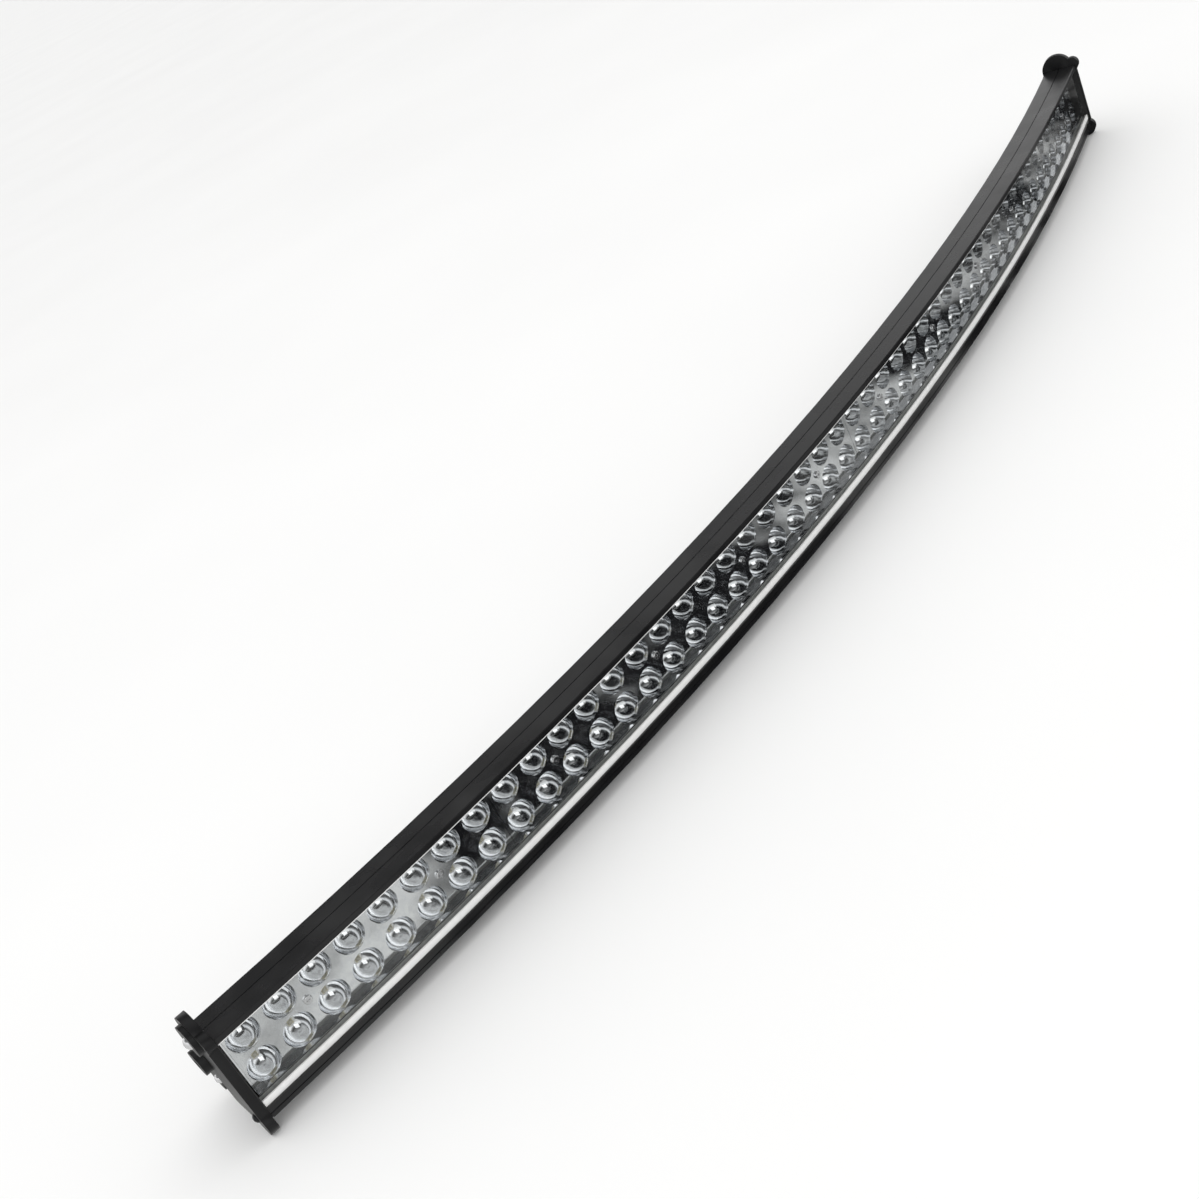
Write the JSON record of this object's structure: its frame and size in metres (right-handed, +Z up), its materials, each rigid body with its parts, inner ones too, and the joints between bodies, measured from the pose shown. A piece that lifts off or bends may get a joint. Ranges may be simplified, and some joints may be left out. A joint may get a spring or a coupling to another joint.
{
  "type": "curved led light bar",
  "caption": "Long curved off-road light bar: bent finned housing, clear lens over two rows of bright cup reflectors, sealed end plates with a tapped boss at each end.",
  "frame": {"origin": "middle of the housing's flat underside at mid-length, 16 mm behind the foremost point of the front face", "axes": "+X along the bar, -Y out of the lens (the way the light goes), +Z up"},
  "size_m": [1.2566, 0.1316, 0.0871],
  "materials": {
    "housing_black": "satin black powder coat on an aluminium extrusion",
    "cap_black": "satin black coat on cast aluminium",
    "lens_clear": "polished",
    "silicone_white": "matt",
    "foam_grey": "closed-cell foam",
    "reflector_chrome": "mirror-bright vacuum metallised plastic",
    "board_white": "white solder mask on aluminium core",
    "led_yellow": "phosphor",
    "led_dome": "clear silicone over phosphor",
    "screw_steel": "bright",
    "screw_black": "black oxide",
    "gasket_rubber": "matt",
    "board_green": "solder mask",
    "component_black": "moulded",
    "can_aluminium": "satin",
    "lead_sheath": "matt",
    "gland_plastic": "moulded nylon"
  },
  "bodies": {
    "root": {"board_lead": "lead_sheath", "board_screws": "screw_steel", "cable_gland": "gland_plastic", "driver_board": "board_green", "driver_capacitors": "can_aluminium", "driver_chips": "component_black", "driver_coils": "component_black", "end_cap_left": "cap_black", "end_cap_right": "cap_black", "end_gasket_left": "gasket_rubber", "end_gasket_right": "gasket_rubber", "front_end_screws": "screw_black", "gland_insert": "gasket_rubber", "gland_nut": "gland_plastic", "gland_seal": "gasket_rubber", "housing": "housing_black", "led_board_1": "board_white", "led_board_2": "board_white", "led_board_3": "board_white", "led_board_4": "board_white", "led_board_5": "board_white", "led_board_6": "board_white", "led_domes": "led_dome", "led_packages": "led_yellow", "lens": "lens_clear", "lens_gasket_lower": "silicone_white", "lens_gasket_upper": "silicone_white", "lens_tape_lower": "foam_grey", "lens_tape_upper": "foam_grey", "rear_end_screws": "screw_steel", "reflector_tray_1": "reflector_chrome", "reflector_tray_2": "reflector_chrome", "reflector_tray_3": "reflector_chrome", "reflector_tray_4": "reflector_chrome", "reflector_tray_5": "reflector_chrome", "reflector_tray_6": "reflector_chrome", "supply_lead": "lead_sheath", "top_end_screws": "screw_steel", "vent_plug": "gland_plastic"}
  },
  "joints": []
}
